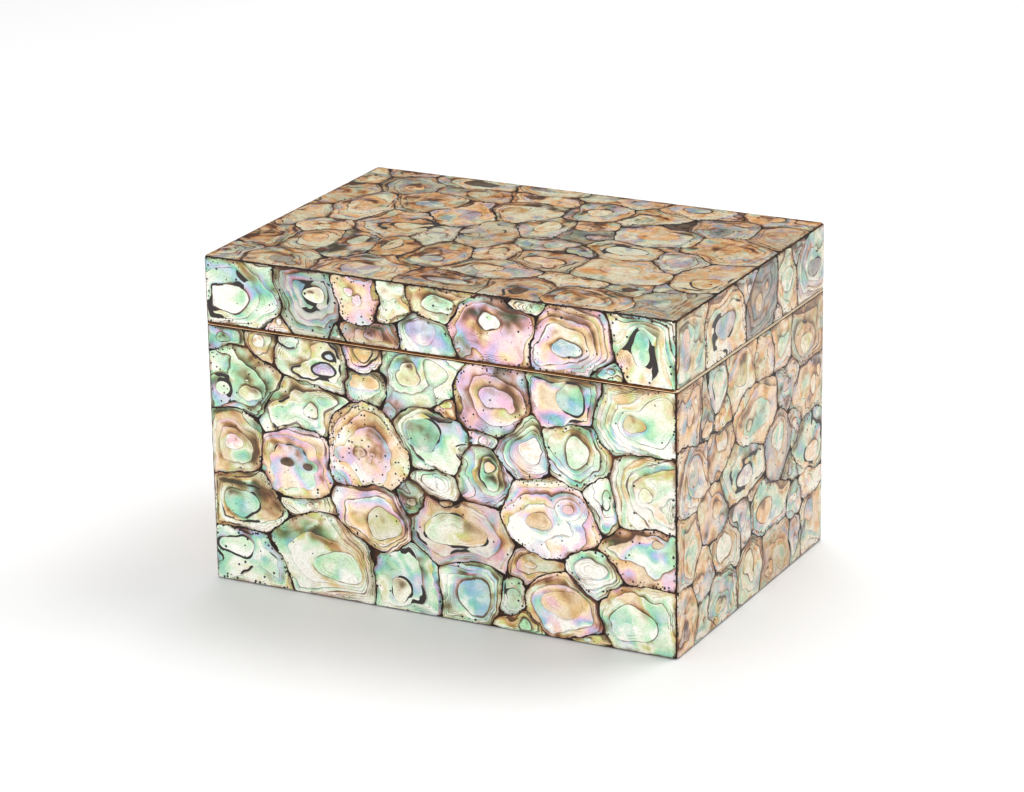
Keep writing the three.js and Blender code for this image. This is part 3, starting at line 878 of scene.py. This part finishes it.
# %% Node helpers
class Finish:
    """A material whose nodes are added one at a time; every method returns an output socket."""

    def __init__(self, name):
        self.material = bpy.data.materials.new(name)
        self.material.use_nodes = True
        self.tree = self.material.node_tree
        self.tree.nodes.clear()
        self.place = self.add("ShaderNodeTexCoord").outputs["Object"]

    def add(self, kind, inputs=None, **settings):
        """A node with its settings and inputs: a socket is linked, anything else is a plain value."""
        made = self.tree.nodes.new(kind)
        for key, value in settings.items():
            setattr(made, key, value)
        for key, value in (inputs or {}).items():
            if isinstance(value, bpy.types.NodeSocket):
                self.tree.links.new(value, made.inputs[key])
            else:
                made.inputs[key].default_value = value
        return made

    def math(self, operation, *values):
        return self.add("ShaderNodeMath", dict(enumerate(values)), operation=operation).outputs[0]

    def times(self, first, second):
        return self.math("MULTIPLY", first, second)

    def less(self, first, second):
        return self.math("SUBTRACT", first, second)

    def line(self, value, slope, start):
        """value * slope + start"""
        return self.math("MULTIPLY_ADD", value, slope, start)

    def read(self, name, output="Fac"):
        """One of the piece's own attributes: a number, or with "Vector" three of them."""
        return self.add("ShaderNodeAttribute", attribute_name=name).outputs[output]

    def split(self, vector):
        return self.add("ShaderNodeSeparateXYZ", {0: vector}).outputs

    def shift(self, vector, by, scale=1.0):
        """vector + by * scale"""
        inputs = {0: by, 1: (scale, scale, scale), 2: vector}
        return self.add("ShaderNodeVectorMath", inputs, operation="MULTIPLY_ADD").outputs[0]

    def noise(self, place, size_mm, detail=2.0, rough=0.5, twist=0.0):
        """Clouds of about this size, from 0 to 1 and 0.5 on average."""
        inputs = {"Vector": place, "Scale": 1 / (size_mm * MM), "Detail": detail, "Roughness": rough,
                  "Distortion": twist}
        return self.add("ShaderNodeTexNoise", inputs, noise_dimensions="3D").outputs["Fac"]

    def fade(self, value, start, end, low_to=0.0, high_to=1.0):
        """low_to below start, high_to above end, and a smooth step between."""
        inputs = {"Value": value, "From Min": start, "From Max": end, "To Min": low_to, "To Max": high_to}
        return self.add("ShaderNodeMapRange", inputs, interpolation_type="SMOOTHSTEP").outputs[0]

    def mix(self, share, first, second, blend="MIX"):
        made = self.add("ShaderNodeMix", data_type="RGBA", blend_type=blend, clamp_factor=True)
        for socket, value in zip((made.inputs[0], made.inputs[6], made.inputs[7]), (share, first, second)):
            if isinstance(value, bpy.types.NodeSocket):
                self.tree.links.new(value, socket)
            else:
                socket.default_value = value
        return made.outputs[2]

    def stain(self, share, color, by):
        """The colour seen through a layer of another."""
        return self.mix(share, color, by, "MULTIPLY")

    def bump(self, height, strength, distance):
        inputs = {"Strength": strength, "Distance": distance, "Height": height}
        return self.add("ShaderNodeBump", inputs).outputs[0]

    def mix_value(self, share, first, second):
        return self.add("ShaderNodeMix", {0: share, 2: first, 3: second}, data_type="FLOAT").outputs[0]

    def ramp(self, value, stops):
        made = self.add("ShaderNodeValToRGB", {"Fac": value})
        band = made.color_ramp
        while len(band.elements) < len(stops):
            band.elements.new(0.5)
        for element, (position, color) in zip(band.elements, stops):
            element.position = position
            element.color = color
        return made.outputs["Color"]

    def surface(self, color, roughness, plain, normal=None):
        """Ends the recipe in one shader; plain holds the values that are the same all over."""
        inputs = {"Base Color": color, "Roughness": roughness, **plain}
        if normal is not None:
            inputs["Normal"] = normal
        shader = self.add("ShaderNodeBsdfPrincipled", inputs)
        self.add("ShaderNodeOutputMaterial", {"Surface": shader.outputs[0]})
        return self.material


def rgb(red, green, blue):
    """A screen colour, 0 to 255, as the linear colour that a node takes."""
    channels = np.array([red, green, blue]) / 255
    linear = np.where(channels <= 0.04045, channels / 12.92, ((channels + 0.055) / 1.055) ** 2.4)
    return (*linear.tolist(), 1.0)


# %% [markdown]
# ## Polished shell
# Nacre has no pigment: thin layers give it pearl colours that drift along a layer and jump where grinding
# steps to the next. A finish that follows the viewer can't be kept with the piece, so the colours are laid
# on instead. They run round a closed round of pearl colours, turned by the shell's own tint, a slow cloud
# and a draw for each whole layer. Three rounds are used: pale pearl for the front and back, a warmer and
# duller one for the short sides, and an ochre one for the lid's top. The duller and the ochre rounds are
# painted shade and painted pearl colour: one kind of shell as it looks on faces turned that way to the
# light.

# %% Rounds of pearl colours
STOPS = (0.00, 0.12, 0.25, 0.36, 0.46, 0.58, 0.70, 0.82, 0.92, 1.00)
RESIN_DARK = rgb(34, 26, 24)


def round_of(*colors):
    """White, mint, teal, blue, lilac, pink, cream, gold, yellow-green, and white again."""
    return [(stop, rgb(*color)) for stop, color in zip(STOPS, colors)]


PEARL = round_of((246, 245, 232), (182, 231, 184), (134, 209, 184), (142, 190, 222), (206, 186, 230),
                 (245, 194, 216), (248, 224, 178), (224, 182, 122), (204, 214, 128), (246, 245, 232))
MUTED = round_of((248, 241, 224), (186, 228, 204), (146, 208, 206), (148, 184, 216), (206, 194, 220),
                 (244, 208, 190), (248, 218, 170), (238, 174, 104), (208, 204, 134), (248, 241, 224))
OCHRE = round_of((230, 216, 186), (190, 216, 194), (150, 188, 186), (146, 172, 208), (184, 174, 204),
                 (220, 186, 166), (240, 208, 156), (222, 160, 94), (196, 176, 118), (228, 212, 178))
print("rounds of", len(STOPS), "pearl colours")

# %% Layers, pearl and light
class ShellFinish(Finish):
    """A finish that knows its shell: where a point is in it, on which layer, and how far from a line."""

    def __init__(self, name):
        super().__init__(name)
        self.draw = self.read("draw", "Vector")
        self.own = self.shift(self.place, self.draw, 3.0)
        self.draws = self.split(self.draw)
        self.look, self.heart, self.marks = (
            self.split(self.read(key, "Vector")) for key in ("look", "heart", "marks"))
        self.rim = self.read("rim")
        tremble = self.less(self.noise(self.own, 4.0), 0.5)
        self.layer = self.line(tremble, 0.08, self.read("layer"))
        self.part = self.math("FRACT", self.layer)
        self.slope = self.read("slope")
        self.below = self.math("DIVIDE", self.less(1.0, self.part), self.slope)   # millimetres to a line
        self.above = self.math("DIVIDE", self.part, self.slope)
        self.in_eye = self.math("GREATER_THAN", self.layer, EYE_LEVEL)
        self.jumps = self.lot(self.math("FLOOR", self.layer))
        uneven = self.less(self.noise(self.own, 3.5, 3.0, 0.6), 0.5)
        self.ragged = self.line(uneven, 3.2, self.rim)          # millimetres to a ragged rim

    def lot(self, whole):
        """Three draws that belong to one whole number of one shell."""
        turn = self.line(self.draws[0], 57.0, whole)
        made = self.add("ShaderNodeTexWhiteNoise", {"W": turn}, noise_dimensions="1D")
        return self.split(made.outputs["Color"])

    def patches(self, key, size_mm, start, end, low_to=0.0, high_to=1.0, detail=1.0):
        """Clouds that differ from shell to shell, and for each key, faded between two levels."""
        cloud = self.noise(self.shift(self.own, self.draw, key), size_mm, detail)
        return self.fade(cloud, start, end, low_to, high_to)

    def pearl(self, colors, swing, cloud_size):
        """The round's colour: the tint, a slow cloud, a jump at each layer and a drift across it."""
        slow = self.less(self.noise(self.own, 1.7 * cloud_size, 1.5, 0.45, twist=0.5), 0.5)
        phase = self.line(slow, swing, self.look[0])
        phase = self.line(self.less(self.jumps[0], 0.5), 0.26, phase)
        phase = self.line(self.less(self.part, 0.5), 0.20, phase)
        phase = self.mix_value(self.in_eye, phase, self.line(slow, 0.8, self.heart[0]))
        return self.ramp(self.math("FRACT", self.math("ADD", phase, 2.0)), colors)

    def light(self, contrast, cloud_size):
        """The pearl's light, partly painted: a painted sheen on one flank of the rings, clouds, a step at
        each layer, a painted shadow that fades in towards each line and a painted highlight on the lip
        beyond it."""
        cloud = self.noise(self.shift(self.own, self.draw, 1.7), cloud_size, 1.5, 0.5, twist=0.7)
        eye = self.math("ADD", self.line(self.draws[1], 0.40, -0.18), MEAN_LIGHT)
        eye = self.line(self.less(self.look[1], MEAN_LIGHT), 0.8, eye)
        light = self.mix_value(self.in_eye, self.look[1], eye)
        light = self.line(self.less(cloud, 0.5), 0.95, light)
        light = self.line(self.less(self.jumps[1], 0.5), 0.24, light)
        # a painted shadow that fades in towards each line, and a painted highlight just beyond it
        line_shadow = self.math("EXPONENT", self.times(self.below, -0.7))
        light = self.less(light, self.times(line_shadow, self.line(self.jumps[2], 0.42, 0.04)))
        light = self.line(self.math("EXPONENT", self.times(self.above, -1.6)), 0.16, light)
        return self.line(self.less(light, 0.55), contrast, 0.55)


print("layers, pearl and light for", len(PEARL), "stops")

# %% [markdown]
# ## Painted shade, stains, skin lines and holes
# The pearl's shadows are painted: brown rather than grey, and greyer where deepest. Some shells go tan
# towards the rim, in patches. Between layers lies brown skin, cut as fine lines of uneven width, and now
# and then as a crowd of hair lines. Worms bored holes that are filled with resin, mostly near the rim, and
# black patches stand where a line opened up round the eye. All of it is flush with the polish, so it is
# colour, not relief.

# %% Painted shade, stains, skin lines and holes
def shadows(f, color, light, tan_share):
    """Painted shade: brown where the pearl's light is low, and greyer where it is deepest; the eye takes
    less of it.
    """
    stain = f.mix_value(f.in_eye, f.look[2], f.heart[1])
    gloom = f.times(f.fade(light, 0.54, 0.04), f.line(f.in_eye, -0.35, 1.0))
    brown = f.times(f.line(stain, 0.45, gloom), tan_share)
    color = f.stain(brown, color, rgb(194, 157, 112))
    return f.stain(f.fade(light, 0.26, -0.15), color, rgb(136, 110, 92))


def grain_and_flecks(f, color, fleck):
    """A fine grain all over, and on the duller faces orange and grey flecks."""
    grain = f.noise(f.own, 0.9, 2.0, 0.6, twist=0.6)
    color = f.stain(f.fade(grain, 0.58, 0.36), color, rgb(240, 235, 226))
    if fleck:
        streak = f.noise(f.shift(f.own, f.draw, 9.1), 4.5, 3.0, 0.6, twist=1.5)
        color = f.stain(f.fade(streak, 0.52, 0.66, 0.0, fleck), color, rgb(238, 184, 120))
        color = f.stain(f.fade(streak, 0.44, 0.32, 0.0, fleck), color, rgb(150, 150, 166))
    return color


def tan_rim(f, color):
    """Tan towards the shell's rim, in some places more than in others."""
    tan = f.times(f.patches(8.1, 11.0, 0.42, 0.64, 0.05), f.fade(f.ragged, 0.0, 2.4, 1.0, 0.0))
    return f.stain(tan, color, rgb(170, 136, 110))


def hair_lines(f, color):
    """Four faint lines to a layer in some patches, and a crowd of lines along some rims."""
    quarter = f.math("FRACT", f.times(f.layer, 4.0))
    gap = f.math("MINIMUM", quarter, f.less(1.0, quarter))
    gap = f.math("DIVIDE", gap, f.times(f.slope, 4.0))
    thin = f.times(f.fade(gap, 0.05, 0.26, 1.0, 0.0), f.patches(6.1, 9.0, 0.56, 0.68, 0.0, 0.5))
    color = f.stain(thin, color, rgb(150, 112, 84))
    crowd = f.fade(f.math("SINE", f.times(f.ragged, 5.2)), 0.2, 0.9)
    crowd = f.times(crowd, f.fade(f.rim, 3.0, 6.0, 1.0, 0.0))
    crowd = f.times(crowd, f.patches(7.1, 16.0, 0.58, 0.66))
    return f.stain(f.times(crowd, 0.8), color, rgb(140, 116, 98))


def skin_line(f):
    """Where a line between two layers shows: few are wide, each swells and fades as it runs."""
    kept = f.lot(f.math("FLOOR", f.math("ADD", f.layer, 0.5)))
    width = f.line(f.math("POWER", kept[1], 2.5), 0.36, 0.08)
    width = f.times(width, f.patches(3.3, 5.0, 0.3, 0.7, 0.4, 1.6))
    gap = f.less(f.math("MINIMUM", f.below, f.above), width)
    line = f.times(f.fade(gap, -0.06, 0.16, 1.0, 0.0), f.patches(4.1, 9.0, 0.36, 0.54, 0.25))
    return f.times(line, f.fade(kept[0], 0.0, 0.8, 0.30, 1.0))


def black_patch(f):
    """Where the line round the eye opens up into resin, on shells with that mark."""
    swell = f.times(f.patches(5.3, 14.0, 0.48, 0.64, 0.0, 3.4, detail=1.5), f.marks[1])
    swell = f.times(swell, f.fade(f.layer, EYE_LEVEL - 1.0, EYE_LEVEL - 0.9))
    open_by = f.less(f.less(swell, 0.12), f.math("MINIMUM", f.below, f.above))
    return f.times(f.fade(open_by, -0.1, 0.15), f.less(1.0, f.in_eye))


def worm_hole(f):
    """Round holes, crowded near the rim and on shells with that mark, and a rim that crumbles in places."""
    spread = f.add("ShaderNodeTexVoronoi", {"Vector": f.own, "Scale": 1 / (1.8 * MM), "Randomness": 1.0})
    cell = f.split(spread.outputs["Color"])
    hole = f.math("LESS_THAN", spread.outputs["Distance"], f.line(cell[1], 0.26, 0.14))
    wormy = f.line(f.marks[0], 1.6, f.fade(f.draws[2], 0, 1, 0.1, 0.6))
    wormy = f.times(f.fade(f.ragged, 0.2, 4.5, 1.0, 0.06), wormy)
    hole = f.times(hole, f.math("LESS_THAN", cell[0], wormy))
    bite = f.line(f.less(f.noise(f.own, 1.5, 3.0, 0.65), 0.52), 3.4, f.times(f.rim, -1.0))
    bite = f.math("ADD", bite, f.patches(2.3, 10.0, 0.40, 0.62, -0.5, 0.35))
    return f.math("MAXIMUM", hole, f.fade(bite, 0.0, 0.12))


def shell_finish(name, colors, skin, face_shade, bright, washed, tan_share, contrast, swing, coat, cloud_size,
                 fleck=0.0):
    """colors: the round of pearl colours. skin: the lines between layers. Then a colour laid over the whole
    face: painted shade and tint for how that face meets the light. bright and washed: the colour of the
    brightest parts, with their painted highlights, and how far they go towards it. tan_share: how far the
    painted shadows go brown. contrast and swing: how hard the pearl's light and its colours vary. coat: how
    glossy the lacquer is. cloud_size: of the pearl clouds, in millimetres. fleck: strength of the flecks."""
    f = ShellFinish(name)
    light = f.light(contrast, cloud_size)
    faint = f.patches(0.7, 10.0, 0.35, 0.65, 0.0, 0.45 * washed)
    color = f.mix(faint, f.pearl(colors, swing, cloud_size), rgb(246, 243, 234))
    color = f.mix(f.fade(light, 0.62, 1.05, 0.0, washed), color, bright)
    color = grain_and_flecks(f, shadows(f, color, light, tan_share), fleck)
    color = hair_lines(f, tan_rim(f, color))
    line, black, hole = skin_line(f), black_patch(f), worm_hole(f)
    color = f.mix(line, color, skin)
    color = f.mix(black, color, RESIN_DARK)
    color = f.mix(hole, color, RESIN_DARK)
    color = f.stain(f.mix_value(f.in_eye, f.read("shade"), f.heart[2]), color, rgb(104, 96, 98))
    # painted shade and tint over the whole face, for how that face meets the light
    color = f.stain(1.0, color, face_shade)
    filled = f.math("MAXIMUM", f.math("MAXIMUM", line, hole), black)
    rough = f.line(filled, 0.2, f.line(f.noise(f.own, 3.0), 0.14, 0.26))
    plain = {"Coat Weight": coat, "Coat Roughness": 0.06, "Specular IOR Level": 0.35}
    return f.surface(color, rough, plain, f.bump(f.noise(f.own, 4.0), 0.25, 0.00008))


finish_pastel = shell_finish(
    "shell_pastel", PEARL, skin=rgb(84, 52, 38), face_shade=rgb(254, 254, 252), bright=rgb(250, 250, 246),
    washed=1.0, tan_share=0.97, contrast=1.3, swing=1.1, coat=0.4, cloud_size=10.0)
finish_side = shell_finish(
    "shell_muted", MUTED, skin=rgb(118, 74, 48), face_shade=rgb(255, 249, 236), bright=rgb(250, 250, 247),
    washed=1.0, tan_share=0.95, contrast=1.4, swing=1.5, coat=0.25, cloud_size=8.0, fleck=0.4)
finish_top = shell_finish(
    "shell_ochre", OCHRE, skin=rgb(78, 52, 40), face_shade=rgb(228, 216, 201), bright=rgb(232, 246, 234),
    washed=0.8, tan_share=0.75, contrast=1.75, swing=2.0, coat=0.15, cloud_size=7.0, fleck=0.55)
print("finishes:", [material.name for material in (finish_pastel, finish_side, finish_top)])

# %% [markdown]
# ## Dark resin
# Brown-black resin fills the joints and was polished with the shells. Grinding leaves it satin, with
# specks of shell dust in it. A flat black would look like gaps.

# %% Dark resin
def resin_finish():
    """Near black in a joint, with slow drifts of warmer brown, fine specks of dust and a satin skin."""
    f = Finish("dark_resin")
    drift = f.noise(f.place, 14.0, 3.0, 0.6)
    color = f.mix(f.fade(drift, 0.48, 0.76), rgb(38, 28, 24), rgb(90, 57, 37))
    dust = f.fade(f.noise(f.place, 0.7, 2.0, 0.7), 0.66, 0.78)
    color = f.mix(f.times(dust, 0.45), color, rgb(176, 150, 120))
    rough = f.fade(drift, 0.3, 0.7, 0.36, 0.52)
    return f.surface(color, rough, {"Specular IOR Level": 0.12},
                     f.bump(f.noise(f.place, 0.9, 3.0, 0.6), 0.5, 0.0001))


dark_resin = resin_finish()
print("finish:", dark_resin.name)

# %% [markdown]
# ## Laying the panels
# Nine panels, each with its own seed, take the place of the construction's plain ones. They share three
# finishes by side. The sides' duller finish and the top's darker, ochre one are painted shade and painted
# pearl colour: one kind of shell as it looks on faces turned that way to the light.

# %% Lay every mosaic
FIRST_SEED, SEED_STEP = 11, 10
LOOKS = {"front": (finish_pastel, "shell_front"), "back": (finish_pastel, "shell_front"),
         "right": (finish_side, "shell_side"), "left": (finish_side, "shell_side"),
         "top": (finish_top, "shell_top")}
for number, (name, rows) in enumerate(LAYOUT.items()):
    panel = panels[name]
    finish, slot = LOOKS[panel.side]
    piece = mosaic(panel, rows, FIRST_SEED + SEED_STEP * number, finish, dark_resin)
    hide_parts(panel.node)
    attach(piece, "root")
print(len(LAYOUT), "mosaics")

# %% [markdown]
# ## Brass strips
# A strip is a flat band with a softly rounded nose that stands a hair proud of the shell, so it catches a
# bright line of light all round. Carrying one profile along the box's rounded outline keeps the corners
# tight. A bevelled box would round them too much or not at all. The base's strip is polished; the lid's
# is painted darker brass, a painted shade, which is what draws the dark line above the bright one. Along
# the right side both are painted lighter, a painted highlight.

# %% Brass strips
WALL_BEHIND = 5.3   # how far a strip reaches in over the wall
NOSE_ROUND = 0.25   # depth of its rounded nose behind the resin's face
NOSE_PROUD = 0.12   # how far its nose stands out past the resin
NOSE_POINTS = 9
PAINTED_GLINT_FROM, PAINTED_GLINT_FULLY = 1.8, 0.4    # how far in from the right end the painted highlight starts, and is full


def outline_path(length, depth, radius, steps=6):
    """Points and outward directions round a rounded rectangle, anticlockwise from above."""
    quarter = np.linspace(0, math.pi / 2, steps + 1)
    angles = np.concatenate([quarter + k * math.pi / 2 for k in range(4)])
    corner = np.repeat(np.array([[1, 1], [-1, 1], [-1, -1], [1, -1]]), steps + 1, axis=0)
    centre = corner * (np.array([length, depth]) / 2 - radius)
    out = np.stack([np.cos(angles), np.sin(angles)], -1)
    return centre + radius * out, out


def brass_strip(node, material):
    """The band from the wood out to a half-round nose: profile points are (inward, height) pairs."""
    bottom, top = (np.array(corner)[2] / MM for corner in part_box(node))
    middle, half_high = (bottom + top) / 2, (top - bottom) / 2
    nose = np.linspace(-math.pi / 2, math.pi / 2, NOSE_POINTS)
    bulge = NOSE_ROUND - (NOSE_ROUND + NOSE_PROUD) * np.cos(nose)
    inward = np.concatenate([[WALL_BEHIND], bulge, [WALL_BEHIND]])
    height = np.concatenate([[-half_high], half_high * np.sin(nose), [half_high]])
    path, out = outline_path(LENGTH, DEPTH, CORNER_ROUND)
    flat = path[:, None] - inward[:, None] * out[:, None]
    points = np.concatenate([flat, np.broadcast_to(middle + height[:, None], flat.shape[:2] + (1,))], -1)
    index = np.arange(points[..., 0].size).reshape(points.shape[:2])
    ahead = np.roll(index, -1, axis=0)
    corners = [index, ahead, np.roll(ahead, -1, axis=1), np.roll(index, -1, axis=1)]
    quads = np.stack(corners, -1).reshape(-1, 4)
    piece = make_piece(node + "_strip", points.reshape(-1, 3) * MM, quads, [material])
    print(piece.name, len(quads), "quads")
    return piece


def brass_finish(name, clean, tarnished, roughness):
    """Brass with slow tarnish and fine rubbing marks: clean and tarnished colours, lowest roughness. The
    right side is painted lighter, a painted highlight."""
    f = Finish(name)
    color = f.mix(f.fade(f.noise(f.place, 16.0, 4.0, 0.6), 0.35, 0.7), clean, tarnished)
    # the right side painted lighter: a painted highlight
    start, end = (LENGTH / 2 - PAINTED_GLINT_FROM) * MM, (LENGTH / 2 - PAINTED_GLINT_FULLY) * MM
    color = f.mix(f.fade(f.split(f.place)[0], start, end, 0.0, 0.9), color, rgb(255, 238, 206))
    scuff = f.noise(f.place, 0.6, 2.0, 0.6)
    return f.surface(color, f.line(scuff, 0.18, roughness), {"Metallic": 1.0})


bright_brass = brass_finish("polished_brass", rgb(255, 226, 182), rgb(236, 184, 130), 0.16)
# the lid's strip: darker brass, as painted shade
dark_brass = brass_finish("tarnished_brass", rgb(150, 96, 56), rgb(104, 62, 36), 0.30)
for node, brass in (("base_rim", bright_brass), ("lid_rim", dark_brass)):
    strip = brass_strip(node, brass)
    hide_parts(node)
    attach(strip, "root")

# %% [markdown]
# ## Wood
# The casket and lid are plain dark-stained wood inside and underneath. The construction's own shapes are
# right, so they stay and only take a finish: long grain along the box, pores, and a satin varnish. Boards
# modelled one by one would show only when the lid is off.

# %% Stained wood
def wood_finish():
    """Rings of grain stretched along X, darker pores, and a thin satin varnish."""
    f = Finish("stained_wood")
    stretched = f.add("ShaderNodeMapping", {"Vector": f.place, "Scale": (0.12, 1.0, 1.0)}).outputs[0]
    figure = f.noise(stretched, 9.0, 4.0, 0.6, twist=1.2)
    color = f.mix(f.fade(figure, 0.3, 0.7), rgb(44, 26, 17), rgb(86, 53, 33))
    pores = f.fade(f.noise(stretched, 0.7, 2.0, 0.6), 0.60, 0.72)
    color = f.mix(f.times(pores, 0.6), color, rgb(26, 15, 10))
    rough = f.fade(figure, 0.3, 0.7, 0.42, 0.56)
    return f.surface(color, rough, {"Coat Weight": 0.15, "Coat Roughness": 0.3},
                     f.bump(figure, 0.3, 0.0001))


stained_wood = wood_finish()
for node in ("base_carcass", "lid_carcass"):
    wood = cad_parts[node].data
    wood.materials.clear()
    wood.materials.append(stained_wood)
print("wood on the casket and the lid")

# %% [markdown]
# ## Studio floor
# A catalogue picture stands on a white floor that runs out of sight. One big matt sheet does it. A curved
# backdrop would show its bend in a view from low down.

# %% Floor
def floor_finish():
    """Matt white paint with the faintest mottling."""
    f = Finish("studio_floor")
    mottle = f.noise(f.place, 400.0, 2.0)
    color = f.mix(f.fade(mottle, 0.3, 0.7), (0.80, 0.80, 0.80, 1), (0.815, 0.815, 0.815, 1))
    return f.surface(color, 0.55, {"Specular IOR Level": 0.25})


FLOOR_SIZE = 14.0     # metres
floor_points = FLOOR_SIZE / 2 * np.array([[-1, -1, 0], [1, -1, 0], [1, 1, 0], [-1, 1, 0]])
floor = make_piece("studio_floor", floor_points, np.array([[0, 1, 2, 3]]), [floor_finish()])
print("floor", FLOOR_SIZE, "m across")

# %% [markdown]
# ## Lamps and surround
# The front is lit by a low broad lamp before it, and the top and the floor by two more, above and behind
# the box on either side, which send soft shadows forward. The white surround has two darker parts, one
# behind the box and one to its right: that is what the lid's top and the right side mirror, and it keeps
# them from washing out. A sharp lamp would put bright spots on the lacquer.

# %% Lights
def soft_lamp(name, place, aim, size, power):
    """A square area lamp at place, facing aim; sizes in metres, power in watts."""
    lamp = bpy.data.lights.new(name, "AREA")
    lamp.shape = "SQUARE"
    lamp.size = size
    lamp.energy = power
    holder = bpy.data.objects.new(name, lamp)
    bpy.context.scene.collection.objects.link(holder)
    holder.location = place
    way = np.array(aim, float) - np.array(place, float)
    tilt = math.atan2(way[2], math.hypot(way[0], way[1]))
    holder.rotation_euler = (math.pi / 2 + tilt, 0, math.atan2(way[1], way[0]) - math.pi / 2)


middle = (0.0, 0.0, HEIGHT / 2 * MM)
soft_lamp("front", (0.30, -1.9, 0.6), middle, 1.2, 14)
soft_lamp("back_right", (0.75, 0.80, 1.9), middle, 1.1, 26)
soft_lamp("back_left", (-0.50, 1.0, 1.9), middle, 1.1, 16)
world = bpy.data.worlds.new("white_studio")
world.use_nodes = True
sky = world.node_tree
skyward = sky.nodes.new("ShaderNodeTexCoord").outputs["Generated"]


def screen(way, start, end, strength, shaded):
    """Strength away from a direction, falling to shaded towards it."""
    across = sky.nodes.new("ShaderNodeVectorMath")
    across.operation = "DOT_PRODUCT"
    across.inputs[1].default_value = way
    sky.links.new(skyward, across.inputs[0])
    wall = sky.nodes.new("ShaderNodeMapRange")
    wall.interpolation_type = "SMOOTHSTEP"
    for key, value in (("From Min", start), ("From Max", end), ("To Min", strength), ("To Max", shaded)):
        wall.inputs[key].default_value = value
    sky.links.new(across.outputs["Value"], wall.inputs["Value"])
    return wall.outputs[0]


both = sky.nodes.new("ShaderNodeMath")
both.operation = "MULTIPLY"
sky.links.new(screen((-0.43, 0.84, 0.33), 0.55, 0.95, 1.02, 0.15), both.inputs[0])
sky.links.new(screen((0.90, -0.10, 0.42), 0.10, 0.85, 1.0, 0.45), both.inputs[1])
background = sky.nodes["Background"]
background.inputs["Color"].default_value = (1, 1, 1, 1)
sky.links.new(both.outputs[0], background.inputs["Strength"])
bpy.context.scene.world = world
bpy.context.scene.view_settings.view_transform = "Standard"

# %% [markdown]
# ## Camera
# The camera looks at the front's right corner from a little above. It has a long lens and stands well
# back, so the box's edges stay nearly parallel, as in a catalogue; a short lens would make it bulge.

# %% Camera
AZIMUTH, ELEVATION, ROLL = math.radians(27.36), math.radians(18.92), math.radians(0.91)
DISTANCE = 1.938                    # metres
AIM = (-0.0037, -0.0010, 0.0852)    # very nearly the box's middle
FOCAL_LENGTH, SENSOR_WIDTH = 138.7, 36      # millimetres
level = math.cos(ELEVATION)
away = (math.sin(AZIMUTH) * level, -math.cos(AZIMUTH) * level, math.sin(ELEVATION))
lens = bpy.data.cameras.new("camera")
lens.sensor_width = SENSOR_WIDTH
lens.lens = FOCAL_LENGTH
camera = bpy.data.objects.new("camera", lens)
bpy.context.scene.collection.objects.link(camera)
camera.location = [a + DISTANCE * w for a, w in zip(AIM, away)]
camera.rotation_mode = "QUATERNION"
upright, sideways = (0, 0, 1), (1, 0, 0)
camera.rotation_quaternion = (Quaternion(upright, AZIMUTH) @ Quaternion(sideways, math.pi / 2 - ELEVATION)
                              @ Quaternion(upright, -ROLL))
bpy.context.scene.camera = camera
print("camera", [round(x, 3) for x in camera.location])
